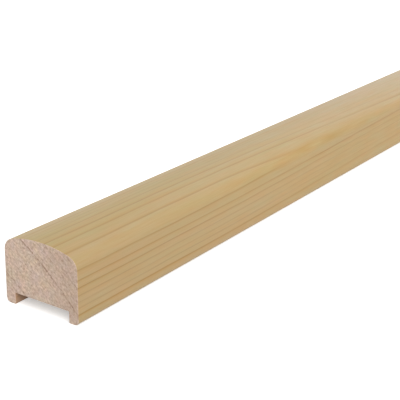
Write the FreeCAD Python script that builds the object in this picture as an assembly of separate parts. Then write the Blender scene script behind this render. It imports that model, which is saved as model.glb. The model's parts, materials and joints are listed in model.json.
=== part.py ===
"""Grooved stair handrail: one length of planed pine, moulded to a single section and sawn square at both ends.

The hand runs over a three-centred crown: a shallow arc across the top, with a tighter arc at each shoulder
that turns it into the upright side. A groove along the underside takes the heads of square spindles between
two legs, and the outer arris of each leg is rounded over.

Millimetres. X runs along the rail and Z is up. The origin lies halfway along the rail, midway between the
sides, on the plane that the two legs stand on.
"""

import FreeCAD
import Part

import math
import os

# Driving dimensions
rail_length = 2400.0
rail_height = 45.0
spindle_width = 41.0
groove_clearance = 1.0
groove_depth = 7.5
leg_thickness = 7.0
crown_radius = 80.0
shoulder_radius = 8.5
foot_radius = 3.0

# Sizes that follow from them
groove_width = spindle_width + groove_clearance
half_groove = groove_width / 2
half_width = half_groove + leg_thickness
sawn_end_x = -rail_length / 2

# The crown is struck from a centre on the mid-line. Each shoulder arc touches the crown and the upright side.
crown_centre_z = rail_height - crown_radius
shoulder_centre_y = half_width - shoulder_radius
shoulder_centre_rise = math.sqrt((crown_radius - shoulder_radius) ** 2 - shoulder_centre_y**2)
shoulder_centre_z = crown_centre_z + shoulder_centre_rise
crown_half_angle = math.atan2(shoulder_centre_y, shoulder_centre_rise)


def section_point(y, z):
    """A point of the section, on the sawn end that the rail is extruded from."""
    return FreeCAD.Vector(sawn_end_x, y, z)


def line(start, end):
    """A straight edge of the section, between two (y, z) places."""
    return Part.LineSegment(section_point(*start), section_point(*end)).toShape()


def arc(centre, radius, first_angle, last_angle, side=1):
    """A round edge about a (y, z) centre. Angles turn from straight up towards that side of the rail."""
    middle_angle = (first_angle + last_angle) / 2
    through = [
        section_point(
            side * (centre[0] + radius * math.sin(angle)),
            centre[1] + radius * math.cos(angle),
        )
        for angle in (first_angle, middle_angle, last_angle)
    ]
    return Part.Arc(*through).toShape()


def crown_edge():
    """The shallow arc over the top, from shoulder to shoulder."""
    return arc((0, crown_centre_z), crown_radius, -crown_half_angle, crown_half_angle)


def groove_ceiling_edge():
    """The flat that the spindle heads bear on."""
    return line((-half_groove, groove_depth), (half_groove, groove_depth))


def side_edges(side):
    """Shoulder, upright face, rounded foot, foot flat and groove wall of one side of the rail."""
    upright = math.pi / 2
    downward = math.pi
    shoulder_centre = (shoulder_centre_y, shoulder_centre_z)
    foot_centre = (half_width - foot_radius, foot_radius)
    return [
        arc(shoulder_centre, shoulder_radius, crown_half_angle, upright, side),
        line((side * half_width, shoulder_centre_z), (side * half_width, foot_radius)),
        arc(foot_centre, foot_radius, upright, downward, side),
        line((side * foot_centre[0], 0), (side * half_groove, 0)),
        line((side * half_groove, 0), (side * half_groove, groove_depth)),
    ]


def handrail():
    """The whole section, extruded from one sawn end to the other."""
    edges = [crown_edge(), groove_ceiling_edge()]
    for side in (1, -1):
        edges += side_edges(side)
    section = Part.Face(Part.Wire(Part.sortEdges(edges)[0]))
    return section.extrude(FreeCAD.Vector(rail_length, 0, 0))


os.makedirs("parts", exist_ok=True)
rail = handrail()
rail.exportStep("parts/handrail.step")
print(f"handrail: {2 * half_width:.1f} x {rail_height:.1f} mm section, {rail.Volume / 1e6:.3f} litres")
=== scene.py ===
"""Looks of the stair handrail length: planed pine with its growth rings, sawn ends, a studio and a camera.

Metres, in the part's own frame: X runs along the rail, Z is up and the two legs stand on Z = 0. The growth
rings are one solid pattern through the wood, so the lines on the long faces run into the rings on the ends.
Inside the materials, places are in millimetres.
"""

import json
import math

import bpy
import numpy as np
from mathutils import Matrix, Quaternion, Vector
from mathutils.geometry import delaunay_2d_cdt


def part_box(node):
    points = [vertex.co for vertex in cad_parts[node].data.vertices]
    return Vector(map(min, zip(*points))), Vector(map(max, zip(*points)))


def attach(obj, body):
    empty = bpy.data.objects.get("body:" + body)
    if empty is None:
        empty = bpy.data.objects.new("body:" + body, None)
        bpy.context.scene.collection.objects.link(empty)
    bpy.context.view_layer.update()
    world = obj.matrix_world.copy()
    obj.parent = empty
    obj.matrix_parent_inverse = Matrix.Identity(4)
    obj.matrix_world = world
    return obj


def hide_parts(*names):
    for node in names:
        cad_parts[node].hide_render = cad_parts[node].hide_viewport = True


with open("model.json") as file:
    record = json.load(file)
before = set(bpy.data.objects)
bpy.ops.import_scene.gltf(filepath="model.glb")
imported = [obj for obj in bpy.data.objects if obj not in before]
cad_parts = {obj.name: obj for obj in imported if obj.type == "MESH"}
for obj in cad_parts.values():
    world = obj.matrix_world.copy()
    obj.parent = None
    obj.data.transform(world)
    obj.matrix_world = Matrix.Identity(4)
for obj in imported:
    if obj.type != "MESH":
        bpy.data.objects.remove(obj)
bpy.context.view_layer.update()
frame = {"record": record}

MM = 0.001

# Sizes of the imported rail
rail_low, rail_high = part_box("handrail")
rail_length = rail_high.x - rail_low.x
rail_height = rail_high.z
half_width = rail_high.y
near_end_x = rail_low.x
far_end_x = rail_high.x
mount_places = {mount["name"]: mount["pos_m"] for mount in frame["record"]["mounts"]}
groove_depth = mount_places["groove_ceiling"][2]
leg_thickness = 7 * MM
half_groove = half_width - leg_thickness

# Radii of the moulded section, and of the edges that the cutters and the saw leave
crown_radius = 80 * MM
shoulder_radius = 8.5 * MM
foot_radius = 3 * MM
groove_edge_radius = 0.4 * MM
groove_corner_radius = 0.5 * MM
sawn_edge_radius = 0.25 * MM

# How finely the mesh follows the section, the length and the sawn ends
crown_steps = 32
shoulder_steps = 14
side_steps = 14
foot_steps = 8
foot_flat_steps = 4
edge_steps = 3
groove_wall_steps = 5
ceiling_steps = 14
length_step = 24 * MM
end_margin = 1 * MM
sawn_edge_steps = 3
sawn_grid = 0.9 * MM
sawn_grid_clearance = 0.6 * sawn_grid
sharp_edge_angle = math.radians(50)

# Marks of the circular saw on the ends: shallow arcs about the middle of its blade, made up of two ripples.
# Each ripple has its turns in a pitch, the angle that it starts at and its share of the depth
saw_mark_depth = 0.06 * MM
saw_mark_pitch = 2.6 * MM
saw_middle = np.array([50, -130]) * MM
saw_ripples = ((1.0, 0.0, 0.3), (2.7, 1.0, 0.2))

# Map that the looks are baked through: the rail in two runs, and its sawn ends beside each other
rail_runs = 2
map_gap = 0.008
sawn_map_scale = 5.8

# Heart of the tree, seen on the section, in millimetres
heart_y = 135.1
heart_z = -138.9

# Growth rings: outer radius from the heart in millimetres, how far each deepens to orange on planed faces,
# how dark its rim is there, and how dark it is on sawn faces
growth_rings = (
    (168.9, 0.22, 0.28, 0.16),
    (174.1, 0.16, 0.20, 0.12),
    (178.6, 0.28, 0.30, 0.20),
    (183.2, 0.16, 0.20, 0.12),
    (187.5, 0.20, 0.24, 0.24),
    (191.8, 0.40, 0.38, 0.48),
    (196.6, 0.16, 0.20, 0.12),
    (200.7, 0.22, 0.26, 0.14),
    (205.3, 0.16, 0.20, 0.07),
    (209.6, 0.24, 0.28, 0.10),
    (214.4, 0.16, 0.20, 0.12),
    (218.8, 0.56, 0.36, 0.64),
    (221.6, 0.10, 0.28, 0.12),
    (224.2, 0.10, 0.18, 0.10),
    (227.0, 0.10, 0.31, 0.16),
    (230.5, 0.36, 0.38, 0.36),
    (234.0, 0.34, 0.27, 0.30),
    (238.5, 0.34, 0.28, 0.24),
    (243.0, 0.30, 0.24, 0.16),
    (246.8, 0.26, 0.22, 0.16),
)
orange_on_planed = 1
rim_on_planed = 2
dark_on_sawn = 3
innermost_radius = 164.0
latewood_width = 1.2
ring_rim_width = 0.55
sawn_latewood_width = 1.8
earlywood_share = 0.28
ring_edge_width = 0.35
ring_wave_size = 0.9

# The rings leave the line of the rail: they drift outwards and lean along the first stretch, then wander
drift_start = 99.0
drift_end = 629.0
drift_size = 5.4
lean_y = 8.7
lean_z = 8.5
wander_start = 450.0
wander_end = 1000.0
wander_size = 5.0

# Spots on the rail: place along, across and up, reach along and around, and what each adds, by its list, to
# the rings' course, the strength of their lines, their orange, their rims or the depth of the colour
ring_swellings = (
    ((90.0, -28.0, 33.0, 120.0, 7.0), 0.72),
    ((215.0, -11.0, 44.0, 40.0, 5.0), 0.45),
    ((240.0, -23.0, 41.5, 48.0, 5.0), -0.80),
    ((276.0, -27.8, 35.5, 36.0, 4.5), 0.90),
)
line_spots = (
    ((258.0, -27.0, 36.5, 45.0, 4.5), -0.90),
    ((294.0, -28.0, 31.4, 22.0, 3.0), 0.75),
    ((345.0, -15.0, 43.5, 70.0, 7.0), -0.45),
)
orange_spots = (
    ((262.0, -25.8, 39.6, 11.0, 2.2), 0.28),
    ((284.0, -26.2, 39.1, 10.0, 4.0), -0.14),
    ((308.0, -26.8, 38.3, 12.0, 2.4), 0.14),
)
rim_spots = (((285.0, -25.0, 40.0, 65.0, 6.5), -1.00),)
depth_spots = (((190.0, -28.0, 28.0, 110.0, 22.0), -0.08),)

# On planed faces the lines are clearest near the first end. Along the rail they fade to a share of that,
# apart from one ring that stays clear between the inner rings and the outer ones
fade_start = 120.0
fade_end = 340.0
inner_rings_end = 230.7
clear_ring_start = 232.5
clear_ring_end = 234.5
outer_rings_start = 236.5
inner_rings_kept = 0.5
clear_ring_kept = 1.25
outer_rings_kept = 0.8
line_unevenness = 0.8

# Patterns in the wood: how many millimetres a blot covers along each axis, its detail and its roughness.
# The torn grain is told along the rail, round the rings and outwards, and the rest along, across and up
wander_pattern = ((420, 400, 400), 1, 0.5)
wave_pattern = ((75, 18, 18), 2, 0.5)
uneven_pattern = ((55, 5, 5), 2, 0.5)
patch_pattern = ((120, 9, 9), 2, 0.5)
mottle_pattern = ((28, 6, 6), 2, 0.5)
fibre_pattern = ((30, 0.9, 0.9), 3, 0.6)
hair_pattern = ((10, 0.25, 0.25), 2, 0.6)
speckle_pattern = ((1.5, 1.5, 1.5), 2, 0.6)
torn_pattern = ((3, 3.2, 0.9), 2, 0.6)
blotch_pattern = ((9, 9, 9), 2, 0.5)
fleck_pattern = ((7, 7, 7), 3, 0.5)
warmth_pattern = ((5.5, 5.5, 5.5), 1, 0.5)

# Colours of the planed faces. The earlywood turns from a duller tan at the near end to a yellower one
near_earlywood = (0.458, 0.316, 0.147, 1)
far_earlywood = (0.453, 0.302, 0.114, 1)
groove_earlywood = (0.485, 0.304, 0.195, 1)
latewood_orange = (0.400, 0.207, 0.028, 1)
rim_brown = (0.225, 0.150, 0.062, 1)
mottle_shift = (0.072, -0.045, -0.042)
yellow_start = 0.0
yellow_end = 420.0
patch_yellow = 1.6
fibre_yellow = 1.5

# A pinker tone covers the groove's walls and a share of its ceiling, and ends just inside the wood
groove_colour_fade = 0.1
groove_colour_end = 0.3
ceiling_corner_start = 0.9
ceiling_corner_end = 0.3
ceiling_share = 0.25

# The sides turn into the crown between two heights, and its front into its back between two places across
crown_low = 31.0
crown_high = 36.0
back_start = -27.0
back_end = 5.0

# Painted light on the crown and painted shade on its back: what red and green are scaled by, and blue
# between two places along. The crown is cooler and grows bluer along the rail, a painted cool top light and
# sheen; its back is darker and, near the end, yellower, a painted shade away from the front lamp
crown_painted_light = {"red": 0.97, "green": 0.99, "blue": (0.98, 1.13), "along": (230.0, 440.0)}
crown_back_painted_shade = {"red": 0.95, "green": 0.965, "blue": (0.85, 0.97), "along": (40.0, 300.0)}

# Streaks of fibres and hairs on planed faces: how deep they are, and how they grow clearer along the rail
fibre_depth = 0.27
hair_depth = 0.25
streak_start = 60.0
streak_end = 380.0
near_streaks = 0.9
far_streaks = 1.35

# Gloss and fine relief of planed faces
planed_specular = 0.32
planed_roughness = 0.41
orange_roughness = -0.06
fibre_roughness = 0.14
fibre_relief = 0.5
hair_relief = 0.3
orange_relief = 0.4
planed_bump = 0.25
planed_bump_depth = 0.05 * MM

# Colours of the sawn ends: straw and pink flecks, warm and cool ones, and the dark of their rings and grit
sawn_straw = (0.578, 0.451, 0.330, 1)
sawn_pink = (0.607, 0.440, 0.366, 1)
sawn_dark = (0.375, 0.253, 0.185, 1)
warmth_shift = (0.085, 0, -0.063)
fleck_contrast = 2.0

# Beads and grit of the sawn ends. Towards the front side they are less firm and the wood is duller
speckle_beads = 0.9
blotch_beads = 0.3
speckle_grit = 2.4
torn_grit = 1.9
blotch_grit = 0.6
front_side_end = -16.0
back_side_start = 2.0
front_firmness = 0.80
back_firmness = 1.12
front_dullness = 0.24

# Gloss and fine relief of the sawn ends
sawn_roughness = 0.8
speckle_roughness = 0.15
torn_relief = 0.7
sawn_bump = 0.4
sawn_bump_depth = 0.15 * MM

# Camera, measured from the middle of the near end at floor level
camera_from_near_end = Vector((-0.3941, -0.37735, 0.27147))
camera_yaw = math.radians(34.13)
camera_pitch = math.radians(20.31)
camera_roll = math.radians(-0.94)
camera_sensor = 36.0
focal_length_in_frames = 2.5613
camera_clip_start = 0.01

# Studio: what the floor returns to the rail and what it shows, a dome of light, and three soft lamps
floor_reach = 30.0
floor_return = 0.6
floor_shown = 0.9
floor_glow = 0.4
dome_strength = 0.51
backdrop_strength = 1.0
lamp_softness = math.radians(50)
front_lamp_strength = 2.33
front_lamp_direction = Vector((-0.45, -0.567, 0.624))
back_lamp_strength = 0.28
back_lamp_direction = Vector((0.90, 0.10, 0.30))
fill_lamp_strength = 0.75
fill_lamp_direction = Vector((0.40, 0.85, 0.20))


def arc_points(centre, radius, first_angle, last_angle, steps, hollow=False):
    """Places and outward normals on an arc of the section. Angles turn from straight up towards +Y."""
    inward = -1 if hollow else 1
    found = []
    for angle in np.linspace(first_angle, last_angle, steps + 1):
        outward = np.array([math.sin(angle), math.cos(angle)])
        place = np.array(centre) + inward * radius * outward
        found.append((*place, *outward))
    return found


def line_points(start, end, normal, steps):
    """Places between the two ends of a straight stretch of the section, with its outward normal."""
    shares = np.linspace(0, 1, steps + 1)[1:-1]
    places = [np.array(start) + share * (np.array(end) - np.array(start)) for share in shares]
    return [(*place, *normal) for place in places]


def half_section():
    """One side of the section, from the top of the crown round to the middle of the groove's ceiling."""
    crown_centre = (0, rail_height - crown_radius)
    shoulder_y = half_width - shoulder_radius
    shoulder_rise = math.sqrt((crown_radius - shoulder_radius) ** 2 - shoulder_y**2)
    shoulder_centre = (shoulder_y, crown_centre[1] + shoulder_rise)
    crown_angle = math.atan2(shoulder_y, shoulder_rise)
    foot_centre = (half_width - foot_radius, foot_radius)
    edge_centre = (half_groove + groove_edge_radius, groove_edge_radius)
    corner_centre = (half_groove - groove_corner_radius, groove_depth - groove_corner_radius)
    upright = math.pi / 2
    downward = math.pi
    inward = 3 * math.pi / 2
    points = arc_points(crown_centre, crown_radius, 0, crown_angle, crown_steps)
    points += arc_points(shoulder_centre, shoulder_radius, crown_angle, upright, shoulder_steps)[1:]
    points += line_points((half_width, shoulder_centre[1]), (half_width, foot_radius), (1, 0), side_steps)
    points += arc_points(foot_centre, foot_radius, upright, downward, foot_steps)
    points += line_points((foot_centre[0], 0), (edge_centre[0], 0), (0, -1), foot_flat_steps)
    points += arc_points(edge_centre, groove_edge_radius, downward, inward, edge_steps)
    points += line_points(
        (half_groove, edge_centre[1]), (half_groove, corner_centre[1]), (-1, 0), groove_wall_steps
    )
    points += arc_points(corner_centre, groove_corner_radius, inward, downward, edge_steps, hollow=True)
    points += line_points((corner_centre[0], groove_depth), (0, groove_depth), (0, -1), ceiling_steps)
    return points


def whole_section():
    """Places and normals round the whole section, from the groove's ceiling over +Y, the crown and -Y."""
    half = np.array(half_section())
    mirrored = half * (-1, 1, -1, 1)
    ceiling_middle = np.array([[0, groove_depth, 0, -1]])
    loop = np.concatenate([ceiling_middle, half[::-1], mirrored[1:]])
    return loop[:, :2], loop[:, 2:]


def length_stations():
    """Where the section is repeated: evenly from end to end, and once more close to each sawn edge."""
    steps = rail_runs * round(rail_length / rail_runs / length_step)
    first = near_end_x + sawn_edge_radius
    last = far_end_x - sawn_edge_radius
    even = np.linspace(near_end_x, far_end_x, steps + 1)[1:-1]
    return np.concatenate([[first, first + end_margin], even, [last - end_margin, last]])


def saw_marks(places):
    """How deep the saw's marks are at places on an end."""
    turns = np.linalg.norm(places - saw_middle, axis=1) / saw_mark_pitch * 2 * math.pi
    ripple = sum(share * np.sin(rate * turns + start) for rate, start, share in saw_ripples)
    return saw_mark_depth * (0.5 + ripple)


def inside_section(places, outline):
    """Which places lie within the outline, by counting the outline's edges above each of them."""
    inside = np.zeros(len(places), bool)
    for start, end in zip(outline, np.roll(outline, -1, axis=0)):
        spans = (start[0] > places[:, 0]) != (end[0] > places[:, 0])
        with np.errstate(divide="ignore", invalid="ignore"):
            height = start[1] + (places[:, 0] - start[0]) / (end[0] - start[0]) * (end[1] - start[1])
        inside ^= spans & (places[:, 1] < height)
    return inside


def sawn_face(outline):
    """Triangles over a sawn end: (y, z) places, of which the first are the outline, and their corners."""
    across = np.arange(-half_width, half_width, sawn_grid)
    upward = np.arange(0, rail_height, sawn_grid)
    grid = np.stack(np.meshgrid(across, upward), -1).reshape(-1, 2)
    gap = np.min(np.linalg.norm(grid[:, None] - outline[None], axis=2), axis=1)
    grid = grid[inside_section(grid, outline) & (gap > sawn_grid_clearance)]
    places = np.concatenate([outline, grid])
    count = len(outline)
    rim = [(i, (i + 1) % count) for i in range(count)]
    inside_only = 1
    same_place = 1e-7
    corners = [Vector(place) for place in places]
    _, _, faces, origins, _, _ = delaunay_2d_cdt(corners, rim, [], inside_only, same_place)
    order = [sources[0] for sources in origins]
    return places, [[order[i] for i in face] for face in faces]


class RailMesh:
    """The rail's vertices and faces as they are added, with each face's corners on the map for baking."""

    def __init__(self):
        self.places = []
        self.faces = []
        self.corners = []

    def add_places(self, x, section):
        """Vertices at (y, z) places of the section, and the numbers that they get."""
        first = len(self.places)
        depth = np.broadcast_to(x, len(section))
        self.places += np.column_stack([depth, section]).tolist()
        return list(range(first, len(self.places)))

    def add_band(self, ring, next_ring, ring_map, next_map):
        """Quads between two rings. A ring's map has one place more than its vertices, where it closes."""
        count = len(ring)
        for j in range(count):
            k = (j + 1) % count
            self.faces.append([ring[j], ring[k], next_ring[k], next_ring[j]])
            self.corners += [ring_map[j], ring_map[j + 1], next_map[j + 1], next_map[j]]

    def add_triangles(self, triangles, numbers, places_map):
        """Triangles over an end."""
        for triangle in triangles:
            self.faces.append([numbers[i] for i in triangle])
            self.corners += [places_map[i] for i in triangle]


def around_section(section):
    """How far round the section each vertex lies, as a share of the whole, and the closing place too."""
    steps = np.linalg.norm(np.roll(section, -1, axis=0) - section, axis=1)
    return np.concatenate([[0], np.cumsum(steps)]) / steps.sum()


def run_map(x, run, around):
    """Where a ring of the long faces lies on the map. Each run of the rail has a strip of its own."""
    top_of_ends = (rail_height + 2 * sawn_edge_radius) * sawn_map_scale + 2 * map_gap
    strip = (1 - top_of_ends) / rail_runs
    share = (x - near_end_x) / rail_length * rail_runs - run
    along = map_gap + share * (1 - 2 * map_gap)
    across = top_of_ends + run * strip + around * (strip - map_gap)
    return np.column_stack([np.full(len(around), along), across])


def end_map(places, end):
    """Where places on a sawn end lie on the map, the two ends beside each other."""
    island_width = (2 * half_width + 2 * sawn_edge_radius) * sawn_map_scale + map_gap
    middle = map_gap + end * island_width + (half_width + sawn_edge_radius) * sawn_map_scale
    low = map_gap + sawn_edge_radius * sawn_map_scale
    return np.array([middle, low]) + places * sawn_map_scale


def closed(places):
    """Places round a ring with the first one again at the end."""
    return np.concatenate([places, places[:1]])


def add_long_faces(mesh, section):
    """The planed faces: the section run along the rail. Gives the first and the last ring of vertices."""
    around = around_section(section)
    stations = length_stations()
    rings = [mesh.add_places(x, section) for x in stations]
    for i in range(len(stations) - 1):
        middle = (stations[i] + stations[i + 1]) / 2
        run = int((middle - near_end_x) / rail_length * rail_runs)
        maps = [run_map(stations[k], run, around) for k in (i, i + 1)]
        mesh.add_band(rings[i], rings[i + 1], *maps)
    return rings[0], rings[-1]


def add_sawn_end(mesh, section, normals, ring, end):
    """One sawn end: its eased edge, from the last ring of the long faces, and its saw-marked face."""
    end_x, inward = ((near_end_x, 1), (far_end_x, -1))[end]
    rim = section - sawn_edge_radius * normals
    unfolded = closed(end_map(rim + normals * sawn_edge_radius * math.pi / 2, end))
    for angle in np.linspace(math.pi / 2, 0, sawn_edge_steps + 1)[1:]:
        x = end_x + inward * sawn_edge_radius * (1 - math.cos(angle))
        next_ring = mesh.add_places(x, rim + normals * sawn_edge_radius * math.sin(angle))
        next_unfolded = closed(end_map(rim + normals * sawn_edge_radius * angle, end))
        if end == 0:
            mesh.add_band(next_ring, ring, next_unfolded, unfolded)
        else:
            mesh.add_band(ring, next_ring, unfolded, next_unfolded)
        ring = next_ring
        unfolded = next_unfolded
    places, triangles = sawn_face(rim)
    inner = places[len(rim):]
    numbers = ring + mesh.add_places(end_x + inward * saw_marks(inner), inner)
    facing = [triangle[::-1] for triangle in triangles] if end == 0 else triangles
    mesh.add_triangles(facing, numbers, end_map(places, end))


def handrail_mesh():
    """The whole rail as one closed mesh, and how many of its faces are planed."""
    section, normals = whole_section()
    builder = RailMesh()
    end_rings = add_long_faces(builder, section)
    planed_count = len(builder.faces)
    for end, ring in enumerate(end_rings):
        add_sawn_end(builder, section, normals, ring, end)
    mesh = bpy.data.meshes.new("handrail_pine")
    mesh.from_pydata(builder.places, [], builder.faces)
    bake_map = mesh.uv_layers.new(name="OFBake")
    bake_map.data.foreach_set("uv", np.array(builder.corners, np.float32).ravel())
    return mesh, planed_count


def add_node(tree, kind, inputs=(), **settings):
    """A shader node with its settings. Each input is a plain value, or another node's output to link."""
    node = tree.nodes.new(kind)
    for name, value in settings.items():
        setattr(node, name, value)
    for key, value in dict(inputs).items():
        if isinstance(value, bpy.types.NodeSocket):
            tree.links.new(value, node.inputs[key])
        else:
            node.inputs[key].default_value = value
    return node


def maths(tree, operation, *values):
    """One sum on numbers."""
    return add_node(tree, "ShaderNodeMath", enumerate(values), operation=operation).outputs[0]


def vectors(tree, operation, first, second):
    """One sum on two vectors."""
    node = add_node(tree, "ShaderNodeVectorMath", enumerate((first, second)), operation=operation)
    return node.outputs["Vector"]


def dot(tree, first, second):
    """The dot product of two vectors."""
    node = add_node(tree, "ShaderNodeVectorMath", enumerate((first, second)), operation="DOT_PRODUCT")
    return node.outputs["Value"]


def joined(tree, *parts):
    """Three numbers as one vector."""
    return add_node(tree, "ShaderNodeCombineXYZ", enumerate(parts)).outputs[0]


def coordinate(tree, place, axis):
    """One coordinate of a place: X, Y or Z."""
    return add_node(tree, "ShaderNodeSeparateXYZ", {0: place}).outputs[axis]


def scaled(tree, vector, factors):
    """A vector stretched by a factor along each axis."""
    return vectors(tree, "MULTIPLY", vector, factors)


def step_between(tree, value, low, high, first=0.0, last=1.0):
    """A smooth change from first to last while the value goes from low to high."""
    inputs = {"Value": value, "From Min": low, "From Max": high, "To Min": first, "To Max": last}
    return add_node(tree, "ShaderNodeMapRange", inputs, interpolation_type="SMOOTHSTEP").outputs["Result"]


def mixed(tree, factor, first, second):
    """A colour between two, or past them where the factor leaves 0 to 1."""
    # The sockets between these, and the outputs before the third, are for other kinds of value
    inputs = {0: factor, 6: first, 7: second}
    return add_node(tree, "ShaderNodeMix", inputs, data_type="RGBA", clamp_factor=False).outputs[2]


def shifted(tree, colour, share, shift):
    """A colour with a share of a shift added to its red, green and blue."""
    return mixed(tree, share, colour, vectors(tree, "ADD", colour, shift))


def toned(tree, colour, share, along, tone):
    """A colour with its red, green and blue scaled by a tone, as far as the share says."""
    blue = step_between(tree, along, *tone["along"], *tone["blue"])
    factors = joined(tree, tone["red"], tone["green"], blue)
    return mixed(tree, share, colour, scaled(tree, colour, factors))


def noise(tree, place, pattern):
    """Noise about zero, from -0.5 to 0.5, in one of the patterns."""
    blot, detail, roughness = pattern
    vector = scaled(tree, place, [1 / size for size in blot])
    inputs = {"Vector": vector, "Scale": 1.0, "Detail": detail, "Roughness": roughness}
    blots = add_node(tree, "ShaderNodeTexNoise", inputs)
    return maths(tree, "SUBTRACT", blots.outputs[0], 0.5)


def place_in_wood(tree):
    """The place in the wood in millimetres, as a vector and as its distance from the near end."""
    coordinates = add_node(tree, "ShaderNodeTexCoord")
    place = scaled(tree, coordinates.outputs["Object"], [1 / MM] * 3)
    return place, maths(tree, "SUBTRACT", coordinate(tree, place, "X"), near_end_x / MM)


def nearness(tree, place, spot):
    """One in the middle of a spot, falling smoothly to nought past its reach."""
    along, across, up, reach_along, reach_around = spot
    offset = vectors(tree, "SUBTRACT", place, (near_end_x / MM + along, across, up))
    offset = scaled(tree, offset, (1 / reach_along, 1 / reach_around, 1 / reach_around))
    return maths(tree, "EXPONENT", maths(tree, "MULTIPLY", dot(tree, offset, offset), -1.0))


def spotted(tree, place, spots, value):
    """A value with what each spot adds to it."""
    for spot, change in spots:
        value = maths(tree, "MULTIPLY_ADD", nearness(tree, place, spot), change, value)
    return value


def ring_radius(tree, place, along):
    """How far out in the tree a place lies, told by rings that drift, lean, wander, wave and swell."""
    shift = step_between(tree, along, drift_start, drift_end)
    lean = scaled(tree, joined(tree, shift, shift, shift), (0, lean_y, lean_z))
    heart = vectors(tree, "ADD", (0, heart_y, heart_z), lean)
    across = scaled(tree, vectors(tree, "SUBTRACT", place, heart), (0, 1, 1))
    radius = add_node(tree, "ShaderNodeVectorMath", {0: across}, operation="LENGTH").outputs["Value"]
    radius = maths(tree, "MULTIPLY_ADD", shift, -drift_size, radius)
    wander = noise(tree, place, wander_pattern)
    wander_share = step_between(tree, along, wander_start, wander_end, 0, wander_size)
    radius = maths(tree, "MULTIPLY_ADD", wander, wander_share, radius)
    waves = noise(tree, place, wave_pattern)
    radius = maths(tree, "MULTIPLY_ADD", waves, ring_wave_size, radius)
    return spotted(tree, place, ring_swellings, radius)


def place_on_rings(tree, place, radius, along):
    """A place told by the rings: how far along the rail, how far round the ring and how far out it lies."""
    outward = math.hypot(heart_y, rail_height / 2 / MM - heart_z)
    round_ring = (0, (rail_height / 2 / MM - heart_z) / outward, heart_y / outward)
    return joined(tree, along, dot(tree, place, round_ring), radius)


def latewood(tree, radius, column, late_width, early_share):
    """How dark the rings are at a place: each deepens faintly across its width, then firmly, and stops."""
    total = 0.0
    inner = innermost_radius
    for ring in growth_rings:
        outer = ring[0]
        darkness = ring[column]
        early = step_between(tree, radius, inner, outer, 0, early_share * darkness)
        late = step_between(tree, radius, outer - late_width, outer, 0, darkness)
        ending = step_between(tree, radius, outer, outer + ring_edge_width, 1, 0)
        total = maths(tree, "MULTIPLY_ADD", maths(tree, "ADD", early, late), ending, total)
        inner = outer
    return total


def in_groove(tree, place):
    """One on the walls of the groove, a share on its ceiling, and nought elsewhere."""
    wall_y = half_groove / MM
    ceiling_z = groove_depth / MM
    from_middle = maths(tree, "ABSOLUTE", coordinate(tree, place, "Y"))
    height = coordinate(tree, place, "Z")
    past_wall = (wall_y + groove_colour_fade, wall_y + groove_colour_end)
    past_ceiling = (ceiling_z + groove_colour_fade, ceiling_z + groove_colour_end)
    corner = (ceiling_z - ceiling_corner_start, ceiling_z - ceiling_corner_end)
    within = step_between(tree, from_middle, *past_wall, 1, 0)
    share = step_between(tree, height, *corner, 1, ceiling_share)
    below = step_between(tree, height, *past_ceiling, share, 0)
    return maths(tree, "MULTIPLY", within, below)


def new_material(name):
    """A new material, its node tree and its shader."""
    material = bpy.data.materials.new(name)
    material.use_nodes = True
    tree = material.node_tree
    return material, tree, tree.nodes["Principled BSDF"]


def add_bump(tree, shader, strength, depth, height):
    """Fine relief on a shader."""
    bump = add_node(tree, "ShaderNodeBump", {"Strength": strength, "Distance": depth, "Height": height})
    tree.links.new(bump.outputs[0], shader.inputs["Normal"])


def line_strength(tree, place, along, radius):
    """How strongly the ring lines show on planed faces: they fade along the rail, unevenly and in spots."""
    kept = step_between(tree, radius, inner_rings_end, clear_ring_start, inner_rings_kept, clear_ring_kept)
    kept = step_between(tree, radius, clear_ring_end, outer_rings_start, kept, outer_rings_kept)
    fade = step_between(tree, along, fade_start, fade_end, 1, kept)
    uneven = maths(tree, "MULTIPLY_ADD", noise(tree, place, uneven_pattern), line_unevenness, 1.0)
    strength = maths(tree, "MULTIPLY", fade, uneven)
    return maths(tree, "MULTIPLY", strength, spotted(tree, place, line_spots, 1.0))


def earlywood(tree, place, along, fibres):
    """Colour between the ring lines: yellower along the rail, mottled, with painted light on the crown and
    painted shade on its back.
    """
    yellow = step_between(tree, along, yellow_start, yellow_end)
    yellow = maths(tree, "MULTIPLY_ADD", noise(tree, place, patch_pattern), patch_yellow, yellow)
    yellow = maths(tree, "MULTIPLY_ADD", fibres, fibre_yellow, yellow)
    colour = mixed(tree, yellow, near_earlywood, far_earlywood)
    colour = shifted(tree, colour, noise(tree, place, mottle_pattern), mottle_shift)
    # Painted light on the crown: a cooler hue that grows bluer along the rail, standing for top light and
    # sheen
    crown = step_between(tree, coordinate(tree, place, "Z"), crown_low, crown_high)
    colour = toned(tree, colour, crown, along, crown_painted_light)
    # Painted shade on the back of the crown, darker where it turns away from the front lamp
    back_shade_share = step_between(tree, coordinate(tree, place, "Y"), back_start, back_end)
    colour = toned(tree, colour, maths(tree, "MULTIPLY", crown, back_shade_share), along, crown_back_painted_shade)
    return mixed(tree, in_groove(tree, place), colour, groove_earlywood)


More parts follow.
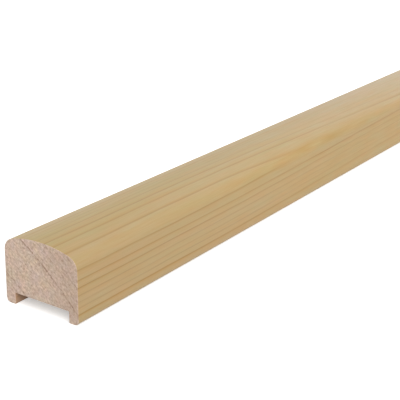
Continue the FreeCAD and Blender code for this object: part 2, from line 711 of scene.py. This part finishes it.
def planed_pine():
    """Planed long faces: straw-coloured earlywood, orange-brown latewood lines and fine fibres."""
    material, tree, shader = new_material("planed_pine")
    place, along = place_in_wood(tree)
    radius = ring_radius(tree, place, along)
    strength = line_strength(tree, place, along, radius)
    deepening = latewood(tree, radius, orange_on_planed, latewood_width, earlywood_share)
    deepening = spotted(tree, place, orange_spots, maths(tree, "MULTIPLY", deepening, strength))
    rims = maths(tree, "MULTIPLY", latewood(tree, radius, rim_on_planed, ring_rim_width, 0), strength)
    rims = maths(tree, "MULTIPLY", rims, spotted(tree, place, rim_spots, 1.0))
    fibres = noise(tree, place, fibre_pattern)
    hairs = noise(tree, place, hair_pattern)
    streaks = maths(tree, "MULTIPLY_ADD", fibres, fibre_depth, maths(tree, "MULTIPLY", hairs, hair_depth))
    clearness = step_between(tree, along, streak_start, streak_end, near_streaks, far_streaks)
    depth = maths(tree, "MULTIPLY_ADD", streaks, clearness, rims)
    depth = spotted(tree, place, depth_spots, depth)
    colour = mixed(tree, deepening, earlywood(tree, place, along, fibres), latewood_orange)
    colour = mixed(tree, depth, colour, rim_brown)
    tree.links.new(colour, shader.inputs["Base Color"])

    shader.inputs["Specular IOR Level"].default_value = planed_specular
    rough = maths(tree, "MULTIPLY_ADD", deepening, orange_roughness, planed_roughness)
    rough = maths(tree, "MULTIPLY_ADD", fibres, fibre_roughness, rough)
    tree.links.new(rough, shader.inputs["Roughness"])
    height = maths(tree, "MULTIPLY_ADD", fibres, fibre_relief, maths(tree, "MULTIPLY", hairs, hair_relief))
    height = maths(tree, "MULTIPLY_ADD", deepening, orange_relief, height)
    add_bump(tree, shader, planed_bump, planed_bump_depth, height)
    return material


def sawn_pine():
    """Sawn ends: pinkish end grain, torn and speckled by the saw, with ring lines that break into beads."""
    material, tree, shader = new_material("sawn_pine")
    place, along = place_in_wood(tree)
    radius = ring_radius(tree, place, along)
    speckle = noise(tree, place, speckle_pattern)
    torn = noise(tree, place_on_rings(tree, place, radius, along), torn_pattern)
    blotches = noise(tree, place, blotch_pattern)
    across = coordinate(tree, place, "Y")
    firmness = step_between(tree, across, front_side_end, back_side_start, front_firmness, back_firmness)
    dullness = step_between(tree, across, front_side_end, back_side_start, front_dullness, 0)
    beads = maths(tree, "MULTIPLY_ADD", blotches, blotch_beads, 1.0)
    beads = maths(tree, "MULTIPLY_ADD", speckle, speckle_beads, beads)
    rings = latewood(tree, radius, dark_on_sawn, sawn_latewood_width, earlywood_share)
    rings = maths(tree, "MULTIPLY", rings, beads)
    grit = maths(tree, "MULTIPLY_ADD", speckle, speckle_grit, maths(tree, "MULTIPLY", torn, torn_grit))
    depth = maths(tree, "MULTIPLY_ADD", maths(tree, "ADD", rings, grit), firmness, dullness)
    depth = maths(tree, "MULTIPLY_ADD", blotches, blotch_grit, depth)
    tint = maths(tree, "MULTIPLY_ADD", noise(tree, place, fleck_pattern), fleck_contrast, 0.5)
    colour = mixed(tree, tint, sawn_straw, sawn_pink)
    colour = shifted(tree, colour, noise(tree, place, warmth_pattern), warmth_shift)
    colour = mixed(tree, depth, colour, sawn_dark)
    tree.links.new(colour, shader.inputs["Base Color"])

    rough = maths(tree, "MULTIPLY_ADD", speckle, speckle_roughness, sawn_roughness)
    tree.links.new(rough, shader.inputs["Roughness"])
    height = maths(tree, "MULTIPLY_ADD", torn, torn_relief, speckle)
    add_bump(tree, shader, sawn_bump, sawn_bump_depth, height)
    return material


def handrail():
    """The rail itself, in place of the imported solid."""
    mesh, planed_count = handrail_mesh()
    mesh.materials.append(planed_pine())
    mesh.materials.append(sawn_pine())
    slots = np.zeros(len(mesh.polygons), np.int32)
    slots[planed_count:] = 1
    mesh.polygons.foreach_set("material_index", slots)
    mesh.shade_smooth()
    mesh.set_sharp_from_angle(angle=sharp_edge_angle)
    rail = bpy.data.objects.new("handrail_pine", mesh)
    bpy.context.scene.collection.objects.link(rail)
    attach(rail, "root")
    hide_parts("handrail")


def grey(level):
    """A colour without hue."""
    return (level, level, level, 1)


def seen_directly(tree):
    """One for rays from the camera, off a shiny face or through glass, and nought for scattered light."""
    path = add_node(tree, "ShaderNodeLightPath").outputs
    seen = maths(tree, "MAXIMUM", path["Is Camera Ray"], path["Is Glossy Ray"])
    return maths(tree, "MAXIMUM", seen, path["Is Transmission Ray"])


def studio_floor():
    """A wide white floor that keeps the rail's shadow and returns a moderate share of the light."""
    corners = [(-floor_reach, -floor_reach), (floor_reach, -floor_reach)]
    corners += [(floor_reach, floor_reach), (-floor_reach, floor_reach)]
    mesh = bpy.data.meshes.new("floor")
    mesh.from_pydata([(x, y, 0) for x, y in corners], [], [(0, 1, 2, 3)])
    material = bpy.data.materials.new("white_floor")
    material.use_nodes = True
    tree = material.node_tree
    tree.nodes.clear()
    returned = add_node(tree, "ShaderNodeBsdfDiffuse", {"Color": grey(floor_return)})
    lit = add_node(tree, "ShaderNodeBsdfDiffuse", {"Color": grey(floor_shown)})
    glow = add_node(tree, "ShaderNodeEmission", {"Strength": floor_glow})
    shown = add_node(tree, "ShaderNodeAddShader", enumerate((lit.outputs[0], glow.outputs[0])))
    parts = (seen_directly(tree), returned.outputs[0], shown.outputs[0])
    surface = add_node(tree, "ShaderNodeMixShader", enumerate(parts))
    add_node(tree, "ShaderNodeOutputMaterial", {"Surface": surface.outputs[0]})
    mesh.materials.append(material)
    floor = bpy.data.objects.new("floor", mesh)
    bpy.context.scene.collection.objects.link(floor)


def soft_lamp(name, strength, direction, mirrored=True):
    """A broad lamp far off, in a direction from the rail. It shows in reflections unless mirrored is off."""
    light = bpy.data.lights.new(name, "SUN")
    light.energy = strength
    light.angle = lamp_softness
    lamp = bpy.data.objects.new(name, light)
    lamp.visible_glossy = mirrored
    lamp.rotation_mode = "QUATERNION"
    lamp.rotation_quaternion = direction.to_track_quat("Z", "Y")
    bpy.context.scene.collection.objects.link(lamp)


def studio_light():
    """A white dome, a lamp over the camera's shoulder, a faint one beyond the rail and a fill behind it."""
    world = bpy.data.worlds.new("white_dome")
    bpy.context.scene.world = world
    world.use_nodes = True
    tree = world.node_tree
    tree.nodes.clear()
    dome = add_node(tree, "ShaderNodeBackground", {"Strength": dome_strength, "Color": grey(1)})
    backdrop = add_node(tree, "ShaderNodeBackground", {"Strength": backdrop_strength, "Color": grey(1)})
    parts = (seen_directly(tree), dome.outputs[0], backdrop.outputs[0])
    surface = add_node(tree, "ShaderNodeMixShader", enumerate(parts))
    add_node(tree, "ShaderNodeOutputWorld", {"Surface": surface.outputs[0]})
    soft_lamp("front_lamp", front_lamp_strength, front_lamp_direction)
    soft_lamp("back_lamp", back_lamp_strength, back_lamp_direction)
    soft_lamp("fill_lamp", fill_lamp_strength, fill_lamp_direction, mirrored=False)


def camera():
    """The photograph's view: down on the near end, with the rail running away to the right."""
    data = bpy.data.cameras.new("camera")
    data.sensor_width = camera_sensor
    data.lens = camera_sensor * focal_length_in_frames
    data.clip_start = camera_clip_start
    looker = bpy.data.objects.new("camera", data)
    looker.location = Vector((near_end_x, 0, 0)) + camera_from_near_end
    level = math.cos(camera_pitch)
    forward = Vector(
        (math.cos(camera_yaw) * level, math.sin(camera_yaw) * level, -math.sin(camera_pitch))
    )
    looker.rotation_mode = "QUATERNION"
    tilt = Quaternion((0, 0, 1), -camera_roll)
    looker.rotation_quaternion = forward.to_track_quat("-Z", "Y") @ tilt
    bpy.context.scene.collection.objects.link(looker)
    bpy.context.scene.camera = looker


handrail()
studio_floor()
studio_light()
camera()
bpy.context.scene.view_settings.view_transform = "Standard"
